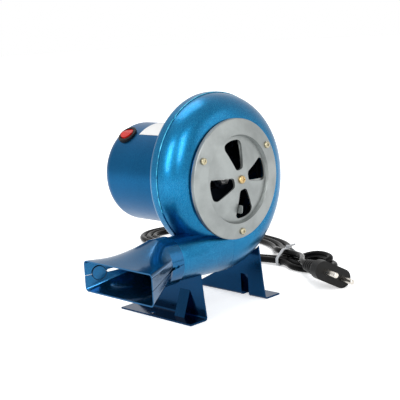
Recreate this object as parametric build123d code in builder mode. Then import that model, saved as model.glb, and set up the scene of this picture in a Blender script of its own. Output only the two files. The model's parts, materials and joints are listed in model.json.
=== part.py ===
from build123d import *
import math
import os

# Electric forge blower: a pressed snail casing with a duckbill outlet, an inlet
# cover with a rotary damper, a closed motor can, two sheet feet and a tied cord.
# The fan axis runs along Y with the inlet at -Y; the outlet points to -X and +Z
# is up. The origin is on the floor, midway between the two foot holes.

os.makedirs("parts", exist_ok=True)

# ---- driving dimensions, in millimetres ----
AXIS_HEIGHT = 115.0
SHEET = 1.2
FIT = 0.3            # clearance between pieces on different bodies
RUNNING_FIT = 0.03   # radial clearance of the shaft in its bearings

COVER_RIM_Y = -60.0
CASING_FRONT_Y = -55.3
SEAM_Y = -33.0
CASING_REAR_Y = -23.0
CAN_REAR_Y = 64.5

VOLUTE_RADIUS = 80.25   # the first and largest of the four arcs
VOLUTE_STEP = 5.5       # each quarter turn is this much tighter
FRONT_ROUND = 24.0
REAR_ROUND = 5.0
SEAM_STEP = 0.8         # the rear shell stands this far outside the front one
OUTLET_TOP = -42.0
OUTLET_TUCK = 0.06      # the duct starts this far inside the snail

SPOUT_Y = -39.5
SPOUT_HEIGHT = 56.0
SPOUT_RADIUS = 18.6
SPOUT_START_X = -62.0
SPOUT_END_X = -74.0

MOUTH_X = -120.0
MOUTH_HEIGHT = 49.5
MOUTH_WIDE = 82.0
MOUTH_TALL = 26.0
SLEEVE_FRONT_X = -66.0
SLEEVE_END_X = -79.0
SLEEVE_RADIUS = 19.0
SIDE_HALF = 6.0         # half the arc of the sleeve that each flat panel springs from
MOUTH_CORNER = 3.5
NOZZLE_SHEET = 1.1
NOZZLE_GAP = 0.45
NOZZLE_SLOTS = ((-94.0, -14.0, 20.0), (-79.0, -62.0, 15.0))     # place along X and Y, length
NOZZLE_SLOT_TALL = 2.2
NOZZLE_SLOT_DEEP = 12.0
DISC_X = -110.0         # where the discs bridge the seam inside the mouth
DISC_RADIUS = 5.8

BACK_INNER_Y = CASING_REAR_Y - SHEET + SEAM_STEP
BACK_OUTER_Y = CASING_REAR_Y + SEAM_STEP
HUB_HOLE_RADIUS = 8.0
SEAT_RADIUS = 49.7
SEAT_CUT_Y = -51.7
SEAT_END_Y = -52.3
SEAT_OUTER_Y = -58.8
SEAT_INNER_Y = -60.8
INLET_RADIUS = 38.8
INLET_LIP_Y = -52.3

COVER_RADIUS = 51.0
COVER_SHEET = 1.1
STEP_RADIUS = 36.3
STEP_TOP_Y = -62.3
DOME_EDGE_Y = -59.7
DOME_MID_Y = -63.3
DOME_TOP_Y = -64.8
DOME_FLAT = 10.0
COVER_SCREWS = 3
COVER_SCREW_TURN = 33.0
COVER_SCREW_CIRCLE = 45.0
COVER_SCREW_RADIUS = 1.5
COVER_SCREW_SEAT_Y = -61.0
SCREW_HEAD = 2.9
PETALS = 4
PETAL_TURN = 10.0       # the first petal's angle from +X
PETAL_HALF = 19.5
PETAL_OUTER = 33.5
PETAL_INNER = 8.6
PETAL_TIP = 3.9         # half the width of the narrow end
PETAL_CORNER = 4.5
DAMPER_HALF = 20.5
DAMPER_REST = 2.5       # how far the damper is already turned, in degrees
DAMPER_RADIUS = 35.5
DAMPER_EDGE_Y = -58.55
DAMPER_SHEET = 0.8
DAMPER_SCREW_RADIUS = 2.0
DAMPER_BORE = 2.06
WASHER_Y = -62.2
TAB_TURN = 262.0
TAB_RADIUS = 25.0
TAB_Y = -63.8
TAB_LONG = 7.0
TAB_DEEP = 6.6
TAB_SHEET = 0.8

IMPELLER_RADIUS = 50.0
IMPELLER_BACK_Y = -28.0
BLADES = 10
BLADE_MID = 38.0
BLADE_LONG = 21.0
BLADE_LEAN = 20.0
BLADE_DEEP = 16.5
BLADE_RING_INNER = 40.0

CAN_RADIUS = 44.5
CAN_WALL = 1.0
CAN_ROUND = 11.0
SHAFT_RADIUS = 4.0
SHAFT_FRONT_Y = -47.5
SHAFT_REAR_Y = 34.0
BEARING_RADIUS = 11.0
BEARING_WIDE = 7.0
FRONT_BEARING_Y = -19.0
REAR_BEARING_Y = 25.0
BOSS_RADIUS = 14.0
BRACKET_RADIUS = 43.3
BRACKET_PLATE = 2.0
REAR_BRACKET_Y = 35.0
WINDOW_CIRCLE = 26.0
STATOR_RADIUS = 43.3
STATOR_Y0 = -8.0
STATOR_Y1 = 20.0
STATOR_SLOTS = 12
ROTOR_RADIUS = 21.6
WINDING_LONG = 7.0
BOLTS = 4
BOLT_TURN = 80.0
BOLT_CIRCLE = 37.0
BOLT_RADIUS = 1.9
BOLT_HOLE = 2.0
CAN_SCREW_Y = -17.0
CAN_SCREW_RADIUS = 1.5
CAN_SCREW_TURNS = (0, 180, 270)

SWITCH_TURN = 126.0
SWITCH_Y = 46.0
SWITCH_BODY = 7.5
BEZEL_RADIUS = 9.0
ROCKER_RADIUS = 6.1
ROCKER_GAP = 0.6
ROCKER_PIVOT = 44.3     # the pivot's distance from the fan axis
ROCKER_REST = 8.0       # how far the rocker is tilted, in degrees
GLAND_TURN = -30.0
GLAND_Y = 43.0
GLAND_BODY = 5.0
GLAND_LONG = 10.5
SWITCH_INNER = 24.0
LABEL_TURN = 92.0
LABEL_ARC = 32.0
LABEL_Y0 = 6.0
LABEL_Y1 = 32.0
LABEL_SHEET = 0.3
CAPACITOR_Z = 87.0

LEG_X = 38.2            # outer face of each web
LEG_SHEET = 1.5
FOOT_WIDE = 18.6
FOOT_FRONT_Y = -53.0
FOOT_REAR_Y = 35.0
FOOT_HOLE_X = 51.0
FOOT_HOLE_RADIUS = 2.75
LEG_BEND = 1.5
GUSSET_FRONT_Y = -35.0
GUSSET_REAR_Y = -23.0
GUSSET_TALL = 24.0
GUSSET_OUT = 9.0

CORD = 6.4
CORD_LOW = 3.3
WAIST_LOW = 5.0         # the strands are lifted where the tie passes under them
WAIST_TOP = 11.5
TIE_Y = 15.5
PLUG_FACE = (95.0, -85.0, 14.5)
PLUG_BACK = (0.342, 0.9397, 0.0)
PLUG_WIDTH = (0.8287, -0.3016, -0.4715)
PLUG_WIDE = 40.0
PLUG_THICK = 18.0
PLUG_LONG = 24.0
RELIEF_LONG = 22.0
PIN_PITCH = 19.0
PIN_RADIUS = 2.4
PIN_LONG = 19.0
HANK_TIP = (172.0, 200.0)
HANK_TIP_RADIUS = 34.0
HANK_PITCH = 7.3
CORD_REACH = 0.45       # share of the shorter run that an arc may take
GAP_STEP = 2.5          # spacing of the points that the gap is measured on


AXIS = Axis((0, 0, AXIS_HEIGHT), (0, 1, 0))


def across(y, height=AXIS_HEIGHT, x=0.0):
    """A plane square to the fan axis, seen from the inlet: X right, Y up."""
    return Plane(origin=(x, y, height), x_dir=(1, 0, 0), z_dir=(0, -1, 0))


def radial(angle, x=0.0, height=AXIS_HEIGHT):
    """A plane through the fan axis; its X runs outwards and its Y along the axis."""
    c, s = math.cos(math.radians(angle)), math.sin(math.radians(angle))
    return Plane(origin=(x, 0, height), x_dir=(c, 0, s), z_dir=(-s, 0, c))


def outward(angle, radius, y, centre_height=AXIS_HEIGHT):
    """A plane that touches a cylinder about the fan axis; its Z points outwards."""
    c, s = math.cos(math.radians(angle)), math.sin(math.radians(angle))
    spot = (radius * c, y, centre_height + radius * s)
    return Plane(origin=spot, x_dir=(0, 1, 0), z_dir=(c, 0, s))


def save(part, name):
    part.label = name
    export_step(part, f"parts/{name}.step")


def ring(inner, outer, y0, y1):
    """A plain ring about the fan axis from y0 to y1."""
    with BuildPart() as made:
        with BuildSketch(across(y1)):
            Circle(outer)
            if inner > 0:
                Circle(inner, mode=Mode.SUBTRACT)
        extrude(amount=y1 - y0)
    return made.part


# ---- casing volumes ----

def volute_volume(inset):
    """The snail: four quarter turns, each tighter than the last, with a big front round."""
    half = VOLUTE_STEP / 2
    front = CASING_FRONT_Y + inset
    rear = CASING_REAR_Y - inset
    centres = [(-half, -half), (half, -half), (half, half), (-half, half)]
    with BuildPart() as volume:
        for turn, (cx, cz) in enumerate(centres):
            reach = VOLUTE_RADIUS - turn * VOLUTE_STEP - inset
            start = -90.0 + 90.0 * turn
            with BuildSketch(radial(start, cx, AXIS_HEIGHT + cz)):
                with BuildLine():
                    FilletPolyline(
                        (0, front), (reach, front), (reach, rear), (0, rear),
                        radius=[FRONT_ROUND - inset, REAR_ROUND - inset],
                    )
                    Line((0, rear), (0, front))
                make_face()
            turn_axis = Axis((cx, 0, AXIS_HEIGHT + cz), (0, -1, 0))
            revolve(axis=turn_axis, revolution_arc=90)
        with BuildSketch(across(rear)):
            Circle(4 * VOLUTE_STEP)
        extrude(amount=rear - front)
    return volume.part


def outlet_volume(inset):
    """The duct from the bottom of the snail to the round spout."""
    front = CASING_FRONT_Y + inset + OUTLET_TUCK
    rear = CASING_REAR_Y - inset - OUTLET_TUCK
    bottom = -VOLUTE_RADIUS - VOLUTE_STEP / 2 + inset + OUTLET_TUCK
    top = OUTLET_TOP - inset
    start_x = OUTLET_TUCK - VOLUTE_STEP / 2
    round_r = SPOUT_RADIUS - inset
    corners = [(front, bottom), (front, top), (rear, top), (rear, bottom)]
    corner_radii = [FRONT_ROUND - inset, 10.0, 10.0, REAR_ROUND - inset]
    arcs = 360 / 8
    with BuildPart() as volume:
        side = Plane(origin=(start_x, 0, AXIS_HEIGHT), x_dir=(0, 1, 0), z_dir=(1, 0, 0))
        with BuildSketch(side) as duct:
            with BuildLine():
                FilletPolyline(*corners, radius=corner_radii, close=True)
            make_face()
        spout_plane = Plane(
            origin=(SPOUT_START_X, SPOUT_Y, SPOUT_HEIGHT), x_dir=(0, 1, 0), z_dir=(1, 0, 0)
        )
        with BuildSketch(spout_plane):
            with BuildLine():
                for step in range(8):
                    CenterArc((0, 0), round_r, 202.5 + arcs * step, arcs)
            make_face()
        loft(ruled=True)
        with BuildSketch(spout_plane):
            Circle(round_r)
        extrude(amount=SPOUT_END_X - SPOUT_START_X)
    return volume.part


# ---- casing shells ----

with BuildPart() as front_shell:
    add(volute_volume(0.0))
    add(outlet_volume(0.0))
    add(volute_volume(SHEET), mode=Mode.SUBTRACT)
    add(outlet_volume(SHEET), mode=Mode.SUBTRACT)
    split(bisect_by=Plane.XZ.offset(-SEAM_Y), keep=Keep.TOP)
    # the raised inlet seat that the cover sits on
    with BuildSketch(across(SEAT_CUT_Y)):
        Circle(SEAT_RADIUS)
    extrude(amount=SEAT_CUT_Y - COVER_RIM_Y, mode=Mode.SUBTRACT)
    with BuildSketch(radial(0)):
        with BuildLine():
            Polyline(
                (SEAT_RADIUS, SEAT_END_Y), (SEAT_RADIUS, SEAT_OUTER_Y),
                (INLET_RADIUS, SEAT_INNER_Y), (INLET_RADIUS, INLET_LIP_Y),
                (INLET_RADIUS + SHEET, INLET_LIP_Y),
                (INLET_RADIUS + SHEET, SEAT_INNER_Y + SHEET),
                (SEAT_RADIUS - SHEET, SEAT_OUTER_Y + SHEET), (SEAT_RADIUS - SHEET, SEAT_END_Y),
                close=True,
            )
        make_face()
    revolve(axis=AXIS)
    with BuildSketch(across(COVER_RIM_Y)):
        with PolarLocations(COVER_SCREW_CIRCLE, COVER_SCREWS, start_angle=COVER_SCREW_TURN):
            Circle(COVER_SCREW_RADIUS)
    extrude(amount=-6, mode=Mode.SUBTRACT)
save(front_shell.part, "front_shell")

with BuildPart() as back_shell:
    add(volute_volume(-SEAM_STEP))
    add(outlet_volume(0.0))
    add(volute_volume(SHEET - SEAM_STEP), mode=Mode.SUBTRACT)
    add(outlet_volume(SHEET), mode=Mode.SUBTRACT)
    split(bisect_by=Plane.XZ.offset(-SEAM_Y), keep=Keep.BOTTOM)
    with BuildSketch(across(BACK_OUTER_Y)):
        Circle(HUB_HOLE_RADIUS)
        with PolarLocations(BOLT_CIRCLE, BOLTS, start_angle=BOLT_TURN):
            Circle(BOLT_HOLE)
    extrude(amount=2 * SHEET, mode=Mode.SUBTRACT)
save(back_shell.part, "back_shell")


# ---- duckbill nozzle, in two halves ----

def nozzle_volume(inset):
    """A round sleeve that flares to a wide flat mouth."""
    wide = MOUTH_WIDE / 2 - inset
    tall = MOUTH_TALL / 2 - inset
    corner = MOUTH_CORNER - inset
    sleeve = SLEEVE_RADIUS + NOZZLE_SHEET - inset
    mouth_plane = Plane(origin=(MOUTH_X, SPOUT_Y, MOUTH_HEIGHT), x_dir=(0, 1, 0), z_dir=(1, 0, 0))
    sleeve_plane = Plane(
        origin=(SLEEVE_END_X, SPOUT_Y, SPOUT_HEIGHT), x_dir=(0, 1, 0), z_dir=(1, 0, 0)
    )
    with BuildPart() as volume:
        with BuildSketch(mouth_plane):
            with BuildLine():
                for quarter in range(4):
                    sx = (1, -1, -1, 1)[quarter]
                    sy = (1, 1, -1, -1)[quarter]
                    centre = (sx * (wide - corner), sy * (tall - corner))
                    CenterArc(centre, corner, 90 * quarter, 90)
                Line((wide - corner, tall), (corner - wide, tall))
                Line((-wide, tall - corner), (-wide, corner - tall))
                Line((corner - wide, -tall), (wide - corner, -tall))
                Line((wide, corner - tall), (wide, tall - corner))
            make_face()
        with BuildSketch(sleeve_plane):
            with BuildLine():
                for quarter in range(4):
                    CenterArc((0, 0), sleeve, 90 * quarter + SIDE_HALF, 90 - 2 * SIDE_HALF)
                    CenterArc((0, 0), sleeve, 90 * quarter - SIDE_HALF, 2 * SIDE_HALF)
            make_face()
        loft(ruled=True)
        with BuildSketch(sleeve_plane):
            Circle(sleeve)
        extrude(amount=SLEEVE_FRONT_X - SLEEVE_END_X)
    return volume.part


def nozzle_half(side):
    """One half of the sheet nozzle: side 1 above the seam, -1 below it."""
    run = SLEEVE_FRONT_X - MOUTH_X
    drop = SPOUT_HEIGHT - MOUTH_HEIGHT
    seam = Plane(
        origin=(MOUTH_X, SPOUT_Y, MOUTH_HEIGHT + side * NOZZLE_GAP / 2),
        x_dir=(0, 1, 0), z_dir=(drop * side, 0, -run * side),
    )
    with BuildPart() as half:
        add(nozzle_volume(0.0))
        add(nozzle_volume(NOZZLE_SHEET), mode=Mode.SUBTRACT)
        split(bisect_by=seam, keep=Keep.BOTTOM)
        # the seam gapes where the two halves were not closed fully
        for slot_x, slot_y, slot_long in NOZZLE_SLOTS:
            rise = (slot_x - MOUTH_X) / run * drop
            with BuildSketch(Plane.XZ.offset(-slot_y)):
                with Locations((slot_x, MOUTH_HEIGHT + rise)):
                    SlotOverall(slot_long, NOZZLE_SLOT_TALL, rotation=7)
            extrude(amount=NOZZLE_SLOT_DEEP, both=True, mode=Mode.SUBTRACT)
    return half.part


with BuildPart() as nozzle_upper:
    add(nozzle_half(1))
save(nozzle_upper.part, "nozzle_upper")

with BuildPart() as nozzle_lower:
    add(nozzle_half(-1))
save(nozzle_lower.part, "nozzle_lower")

with BuildPart() as nozzle_joint_discs:
    flare = MOUTH_WIDE / 2 - SLEEVE_RADIUS - NOZZLE_SHEET
    long = SLEEVE_END_X - MOUTH_X
    slope = math.hypot(flare, long)
    rise = (SPOUT_HEIGHT - MOUTH_HEIGHT) * (DISC_X - MOUTH_X) / (SLEEVE_FRONT_X - MOUTH_X)
    reach = MOUTH_WIDE / 2 - flare * (DISC_X - MOUTH_X) / long - NOZZLE_SHEET * slope / long - 0.1
    for side in (1, -1):
        disc_plane = Plane(
            origin=(DISC_X, SPOUT_Y + side * reach, MOUTH_HEIGHT + rise),
            x_dir=(-long, side * flare, 0), z_dir=(-flare, -side * long, 0),
        )
        with BuildSketch(disc_plane):
            Circle(DISC_RADIUS)
        extrude(amount=0.9)
save(nozzle_joint_discs.part, "nozzle_joint_discs")


# ---- inlet cover and rotary damper ----

def petals(half_angle, reach, turn):
    """The openings: each has a narrow round end and widens outwards."""
    side = math.sin(math.radians(half_angle)) * PETAL_OUTER
    with BuildSketch() as shape:
        with BuildLine():
            Line((PETAL_INNER, -PETAL_TIP), (reach - 2.3, -side))
            ThreePointArc((reach - 2.3, -side), (reach, 0), (reach - 2.3, side))
            Polyline((reach - 2.3, side), (PETAL_INNER, PETAL_TIP), (PETAL_INNER, -PETAL_TIP))
        make_face()
        fillet(shape.vertices().group_by(Axis.X)[0], PETAL_TIP - 0.4)
        fillet(shape.vertices().group_by(Axis.X)[-1], PETAL_CORNER)
    with BuildPart() as cutter:
        with BuildSketch(across(COVER_RIM_Y + 5)):
            with PolarLocations(0, PETALS, start_angle=turn):
                add(shape.sketch)
        extrude(amount=20)
    return cutter.part


with BuildPart() as inlet_cover:
    with BuildSketch(radial(0)):
        with BuildLine():
            Polyline(
                (COVER_RADIUS, COVER_RIM_Y + 3.4), (COVER_RADIUS, COVER_RIM_Y + 0.5),
                (COVER_RADIUS - 0.6, COVER_RIM_Y), (STEP_RADIUS + 1.2, STEP_TOP_Y),
                (STEP_RADIUS, DOME_EDGE_Y),
            )
            ThreePointArc((STEP_RADIUS, DOME_EDGE_Y), (22.0, DOME_MID_Y), (DOME_FLAT, DOME_TOP_Y))
            Polyline(
                (DOME_FLAT, DOME_TOP_Y), (0, DOME_TOP_Y), (0, DOME_TOP_Y + COVER_SHEET),
                (DOME_FLAT, DOME_TOP_Y + COVER_SHEET),
            )
            ThreePointArc(
                (DOME_FLAT, DOME_TOP_Y + COVER_SHEET), (22.0, DOME_MID_Y + COVER_SHEET),
                (STEP_RADIUS, DOME_EDGE_Y + COVER_SHEET),
            )
            Polyline(
                (STEP_RADIUS, DOME_EDGE_Y + COVER_SHEET),
                (STEP_RADIUS + 1.0, DOME_EDGE_Y + COVER_SHEET),
                (STEP_RADIUS + 2.2, STEP_TOP_Y + COVER_SHEET),
                (COVER_RADIUS - COVER_SHEET, COVER_RIM_Y + COVER_SHEET),
                (COVER_RADIUS - COVER_SHEET, COVER_RIM_Y + 3.4), (COVER_RADIUS, COVER_RIM_Y + 3.4),
            )
        make_face()
    revolve(axis=AXIS)
    add(petals(PETAL_HALF, PETAL_OUTER, PETAL_TURN), mode=Mode.SUBTRACT)
    with BuildSketch(across(COVER_RIM_Y)):
        with PolarLocations(COVER_SCREW_CIRCLE, COVER_SCREWS, start_angle=COVER_SCREW_TURN):
            Circle(COVER_SCREW_RADIUS)
        Circle(DAMPER_SCREW_RADIUS)
    extrude(amount=10, both=True, mode=Mode.SUBTRACT)
    with BuildSketch(across(COVER_SCREW_SEAT_Y)):
        with PolarLocations(COVER_SCREW_CIRCLE, COVER_SCREWS, start_angle=COVER_SCREW_TURN):
            Circle(SCREW_HEAD)
    extrude(amount=3, mode=Mode.SUBTRACT)
save(inlet_cover.part, "inlet_cover")

with BuildPart() as cover_screws:
    with BuildSketch(across(COVER_SCREW_SEAT_Y)):
        with PolarLocations(COVER_SCREW_CIRCLE, COVER_SCREWS, start_angle=COVER_SCREW_TURN):
            Circle(SCREW_HEAD)
    extrude(amount=1.9)
    fillet(cover_screws.edges().group_by(Axis.Y)[0], 1.0)
    with BuildSketch(across(COVER_SCREW_SEAT_Y)):
        with PolarLocations(COVER_SCREW_CIRCLE, COVER_SCREWS, start_angle=COVER_SCREW_TURN):
            Circle(COVER_SCREW_RADIUS)
    extrude(amount=-6)
    with BuildSketch(across(COVER_SCREW_SEAT_Y - 1.2)):
        with PolarLocations(COVER_SCREW_CIRCLE, COVER_SCREWS, start_angle=COVER_SCREW_TURN):
            Rectangle(3.0, 0.7)
            Rectangle(0.7, 3.0)
    extrude(amount=2, mode=Mode.SUBTRACT)
save(cover_screws.part, "cover_screws")

with BuildPart() as damper_plate:
    with BuildSketch(radial(0)):
        gap_y = COVER_SHEET + FIT
        with BuildLine():
            Line((DAMPER_BORE, DOME_TOP_Y + gap_y), (DOME_FLAT, DOME_TOP_Y + gap_y))
            ThreePointArc(
                (DOME_FLAT, DOME_TOP_Y + gap_y), (22.0, DOME_MID_Y + gap_y),
                (DAMPER_RADIUS, DAMPER_EDGE_Y),
            )
            Line((DAMPER_RADIUS, DAMPER_EDGE_Y), (DAMPER_RADIUS, DAMPER_EDGE_Y + DAMPER_SHEET))
            ThreePointArc(
                (DAMPER_RADIUS, DAMPER_EDGE_Y + DAMPER_SHEET),
                (22.0, DOME_MID_Y + gap_y + DAMPER_SHEET),
                (DOME_FLAT, DOME_TOP_Y + gap_y + DAMPER_SHEET),
            )
            Polyline(
                (DOME_FLAT, DOME_TOP_Y + gap_y + DAMPER_SHEET),
                (DAMPER_BORE, DOME_TOP_Y + gap_y + DAMPER_SHEET),
                (DAMPER_BORE, DOME_TOP_Y + gap_y),
            )
        make_face()
    revolve(axis=AXIS)
    add(petals(DAMPER_HALF, PETAL_OUTER + 4, PETAL_TURN + DAMPER_REST), mode=Mode.SUBTRACT)
    # the finger tab, bent forwards through the lowest opening
    with BuildSketch(radial(TAB_TURN)):
        with Locations((TAB_RADIUS, TAB_Y)):
            RectangleRounded(TAB_LONG, TAB_DEEP, 1.5)
    extrude(amount=TAB_SHEET)
save(damper_plate.part, "damper_plate")

with BuildPart() as damper_screw:
    with BuildSketch(across(DOME_TOP_Y)):
        Circle(3.5)
    extrude(amount=2.4)
    fillet(damper_screw.edges().group_by(Axis.Y)[0], 1.6)
    with BuildSketch(across(DOME_TOP_Y)):
        Circle(DAMPER_SCREW_RADIUS)
    extrude(amount=-9)
    with BuildSketch(across(DOME_TOP_Y - 1.6)):
        Rectangle(4.0, 0.8)
        Rectangle(0.8, 4.0)
    extrude(amount=2, mode=Mode.SUBTRACT)
save(damper_screw.part, "damper_screw")

with BuildPart() as damper_spring_washer:
    with BuildSketch(radial(0)):
        with BuildLine():
            Polyline(
                (DAMPER_SCREW_RADIUS, WASHER_Y + 0.5), (5.2, WASHER_Y), (5.2, WASHER_Y + 0.5),
                (DAMPER_SCREW_RADIUS, WASHER_Y + 1.0), close=True,
            )
        make_face()
    revolve(axis=AXIS)
save(damper_spring_washer.part, "damper_spring_washer")

with BuildPart() as damper_nut:
    with BuildSketch(across(WASHER_Y + 1.0)):
        RegularPolygon(4.0, 6)
        Circle(DAMPER_SCREW_RADIUS, mode=Mode.SUBTRACT)
    extrude(amount=-2.6)
save(damper_nut.part, "damper_nut")


# ---- impeller ----

with BuildPart() as impeller_backplate:
    add(ring(SHAFT_RADIUS, IMPELLER_RADIUS, IMPELLER_BACK_Y - 1.2, IMPELLER_BACK_Y))
save(impeller_backplate.part, "impeller_backplate")

with BuildPart() as impeller_blades:
    with BuildSketch(across(IMPELLER_BACK_Y - 1.2)):
        with PolarLocations(BLADE_MID, BLADES):
            Rectangle(BLADE_LONG, 1.0, rotation=BLADE_LEAN)
    extrude(amount=BLADE_DEEP)
save(impeller_blades.part, "impeller_blades")

with BuildPart() as impeller_front_ring:
    front = IMPELLER_BACK_Y - 1.2 - BLADE_DEEP
    add(ring(BLADE_RING_INNER, IMPELLER_RADIUS, front - 1.0, front))
save(impeller_front_ring.part, "impeller_front_ring")

with BuildPart() as impeller_hub:
    hub_back = IMPELLER_BACK_Y - 1.2
    add(ring(SHAFT_RADIUS, 9.0, hub_back - 12.0, hub_back))
save(impeller_hub.part, "impeller_hub")

with BuildPart() as impeller_nut:
    with BuildSketch(across(hub_back - 12.0)):
        RegularPolygon(6.2, 6)
        Circle(SHAFT_RADIUS, mode=Mode.SUBTRACT)
    extrude(amount=4.5)
save(impeller_nut.part, "impeller_nut")


# ---- motor ----

with BuildPart() as motor_shaft:
    with BuildSketch(across(SHAFT_FRONT_Y)):
        Circle(SHAFT_RADIUS)
    extrude(amount=SHAFT_FRONT_Y - SHAFT_REAR_Y)
    chamfer(motor_shaft.edges().group_by(Axis.Y)[0], 0.6)
save(motor_shaft.part, "motor_shaft")

with BuildPart() as rotor_core:
    add(ring(SHAFT_RADIUS, ROTOR_RADIUS, STATOR_Y0, STATOR_Y1))
save(rotor_core.part, "rotor_core")

with BuildPart() as rotor_end_rings:
    add(ring(13.5, 20.0, STATOR_Y0 - 2.5, STATOR_Y0))
    add(ring(13.5, 20.0, STATOR_Y1, STATOR_Y1 + 2.5))
save(rotor_end_rings.part, "rotor_end_rings")

with BuildPart() as front_bearing:
    add(ring(SHAFT_RADIUS + RUNNING_FIT, BEARING_RADIUS, FRONT_BEARING_Y, FRONT_BEARING_Y + BEARING_WIDE))
save(front_bearing.part, "front_bearing")

with BuildPart() as rear_bearing:
    add(ring(SHAFT_RADIUS + RUNNING_FIT, BEARING_RADIUS, REAR_BEARING_Y, REAR_BEARING_Y + BEARING_WIDE))
save(rear_bearing.part, "rear_bearing")


def end_bracket(plate_y, boss_y, seat_y, skirt_y):
    """A bearing bracket: plate, boss with a bearing seat, skirt and bolt holes."""
    plate_back = plate_y + math.copysign(BRACKET_PLATE, boss_y - plate_y)
    with BuildPart() as bracket:
        add(ring(0, BRACKET_RADIUS, min(plate_y, plate_back), max(plate_y, plate_back)))
        add(ring(0, BOSS_RADIUS, min(plate_y, boss_y), max(plate_y, boss_y)))
        add(ring(BRACKET_RADIUS - 2.0, BRACKET_RADIUS, min(plate_y, skirt_y), max(plate_y, skirt_y)))
        seat = ring(0, BEARING_RADIUS, min(seat_y, boss_y), max(seat_y, boss_y))
        add(seat, mode=Mode.SUBTRACT)
        add(ring(0, SHAFT_RADIUS + 1.0, plate_y - 20, plate_y + 20), mode=Mode.SUBTRACT)
        with BuildSketch(across(plate_y)):
            with PolarLocations(BOLT_CIRCLE, BOLTS, start_angle=BOLT_TURN):
                Circle(BOLT_HOLE)
            with PolarLocations(WINDOW_CIRCLE, BOLTS):
                Rectangle(9.0, 16.0)
        extrude(amount=20, both=True, mode=Mode.SUBTRACT)
    return bracket.part


with BuildPart() as front_bracket:
    add(end_bracket(BACK_OUTER_Y, FRONT_BEARING_Y + BEARING_WIDE, FRONT_BEARING_Y, STATOR_Y0))
    for angle in CAN_SCREW_TURNS:
        with BuildSketch(outward(angle, BRACKET_RADIUS - 4, CAN_SCREW_Y)):
            Circle(CAN_SCREW_RADIUS)
        extrude(amount=8, mode=Mode.SUBTRACT)
save(front_bracket.part, "front_bracket")

with BuildPart() as rear_bracket:
    add(end_bracket(REAR_BRACKET_Y, REAR_BEARING_Y, REAR_BRACKET_Y - 2.0, STATOR_Y1))
save(rear_bracket.part, "rear_bracket")

with BuildPart() as bearing_wave_washer:
    add(ring(7.5, BEARING_RADIUS, REAR_BEARING_Y + BEARING_WIDE, REAR_BRACKET_Y - 2.0))
save(bearing_wave_washer.part, "bearing_wave_washer")

with BuildPart() as stator_core:
    with BuildSketch(across(STATOR_Y1)):
        Circle(STATOR_RADIUS)
        Circle(ROTOR_RADIUS + 0.5, mode=Mode.SUBTRACT)
        with PolarLocations(29.0, STATOR_SLOTS):
            SlotOverall(11.0, 5.0, mode=Mode.SUBTRACT)
        with PolarLocations(BOLT_CIRCLE, BOLTS, start_angle=BOLT_TURN):
            Circle(BOLT_HOLE, mode=Mode.SUBTRACT)
    extrude(amount=STATOR_Y1 - STATOR_Y0)
save(stator_core.part, "stator_core")

with BuildPart() as stator_windings:
    with BuildSketch(radial(0)):
        with Locations((28.5, STATOR_Y0 - WINDING_LONG / 2), (28.5, STATOR_Y1 + WINDING_LONG / 2)):
            RectangleRounded(9.0, WINDING_LONG, 2.5)
    revolve(axis=AXIS)
save(stator_windings.part, "stator_windings")

with BuildPart() as motor_bolts:
    with BuildSketch(across(BACK_INNER_Y)):
        with PolarLocations(BOLT_CIRCLE, BOLTS, start_angle=BOLT_TURN):
            Circle(3.4)
    extrude(amount=2.0)
    with BuildSketch(across(BACK_INNER_Y)):
        with PolarLocations(BOLT_CIRCLE, BOLTS, start_angle=BOLT_TURN):
            Circle(BOLT_RADIUS)
    extrude(amount=BACK_INNER_Y - REAR_BRACKET_Y - 4.0)
save(motor_bolts.part, "motor_bolts")

with BuildPart() as motor_nuts:
    with BuildSketch(across(REAR_BRACKET_Y)):
        with PolarLocations(BOLT_CIRCLE, BOLTS, start_angle=BOLT_TURN):
            RegularPolygon(4.0, 6)
            Circle(BOLT_RADIUS, mode=Mode.SUBTRACT)
    extrude(amount=-2.6)
save(motor_nuts.part, "motor_nuts")


def can_volume(inset):
    """The closed can as a solid, from the casing's back wall to its round rear end."""
    reach = CAN_RADIUS - inset
    rear = CAN_REAR_Y - inset
    with BuildPart() as volume:
        with BuildSketch(radial(0)):
            with BuildLine():
                FilletPolyline(
                    (reach, BACK_OUTER_Y), (reach, rear), (0, rear), radius=CAN_ROUND - inset
                )
                Polyline((0, rear), (0, BACK_OUTER_Y), (reach, BACK_OUTER_Y))
            make_face()
        revolve(axis=AXIS)
    return volume.part


with BuildPart() as motor_can:
    add(can_volume(0.0))
    add(can_volume(CAN_WALL), mode=Mode.SUBTRACT)
    with BuildSketch(outward(SWITCH_TURN, CAN_RADIUS - 6, SWITCH_Y)):
        Circle(SWITCH_BODY)
    extrude(amount=12, mode=Mode.SUBTRACT)
    with BuildSketch(outward(GLAND_TURN, CAN_RADIUS - 6, GLAND_Y)):
        Circle(GLAND_BODY)
    extrude(amount=12, mode=Mode.SUBTRACT)
    for angle in CAN_SCREW_TURNS:
        with BuildSketch(outward(angle, CAN_RADIUS - 4, CAN_SCREW_Y)):
            Circle(CAN_SCREW_RADIUS)
        extrude(amount=8, mode=Mode.SUBTRACT)
save(motor_can.part, "motor_can")

with BuildPart() as can_screws:
    for angle in CAN_SCREW_TURNS:
        with BuildSketch(outward(angle, CAN_RADIUS - 3.5, CAN_SCREW_Y)):
            Circle(CAN_SCREW_RADIUS)
        extrude(amount=4.5)
        with BuildSketch(outward(angle, CAN_RADIUS, CAN_SCREW_Y)):
            Circle(SCREW_HEAD)
        extrude(amount=1.8)
save(can_screws.part, "can_screws")

with BuildPart() as capacitor:
    with BuildSketch(Plane.XY.offset(CAPACITOR_Z)):
        with Locations((0, REAR_BRACKET_Y + 11.0)):
            RectangleRounded(32.0, 22.0, 2.0)
    extrude(amount=12.0)
save(capacitor.part, "capacitor")

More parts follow.
